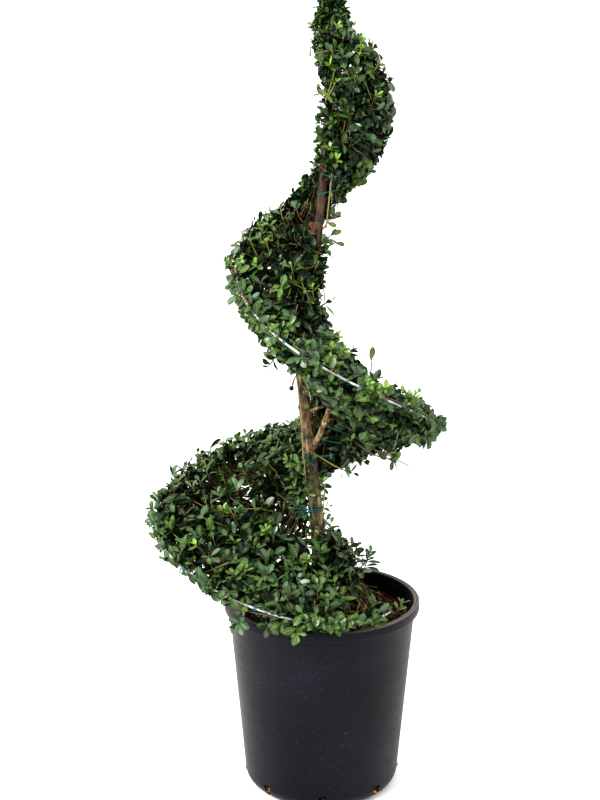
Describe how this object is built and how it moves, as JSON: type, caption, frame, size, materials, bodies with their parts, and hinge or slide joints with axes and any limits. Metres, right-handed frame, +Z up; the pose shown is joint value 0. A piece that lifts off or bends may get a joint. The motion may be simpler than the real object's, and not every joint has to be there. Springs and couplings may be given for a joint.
{
  "type": "spiral topiary shrub in nursery pot",
  "caption": "Small-leaved privet clipped to a rising spiral ribbon round a bare leaning trunk, with its training rod, in a tapered black nursery pot filled with potting mix.",
  "frame": {"origin": "centre of the pot's flat underside", "axes": "+Z up along the pot's axis, -Y towards the side that faces the viewer, +X to the viewer's right"},
  "size_m": [0.4284, 0.4017, 1.2218],
  "materials": {
    "pot": "blow-moulded black plastic, satin",
    "soil": "moist bark potting mix",
    "bark": "flaky tan bark",
    "foliage": "glossy small leaves",
    "wire": "coated steel rod",
    "tie": "plastic-coated tying wire"
  },
  "bodies": {
    "root": {"pot": "pot", "soil": "soil", "trunk": "bark", "bough_right": "bark", "training_wire": "wire", "tie_01": "tie", "tie_02": "tie", "tie_03": "tie", "tie_04": "tie", "tie_05": "tie", "tie_06": "tie", "tie_07": "tie", "tie_08": "tie", "tie_09": "tie", "tie_10": "tie", "tie_11": "tie", "tie_12": "tie", "foliage_foot_back": "foliage", "foliage_foot_right": "foliage", "foliage_foot_front": "foliage", "foliage_low_left": "foliage", "foliage_low_back": "foliage", "foliage_middle_right": "foliage", "foliage_middle_front": "foliage", "foliage_middle_left": "foliage", "foliage_middle_back": "foliage", "foliage_high_right": "foliage", "foliage_high_front": "foliage", "foliage_high_left": "foliage", "foliage_tip": "foliage"}
  },
  "joints": []
}
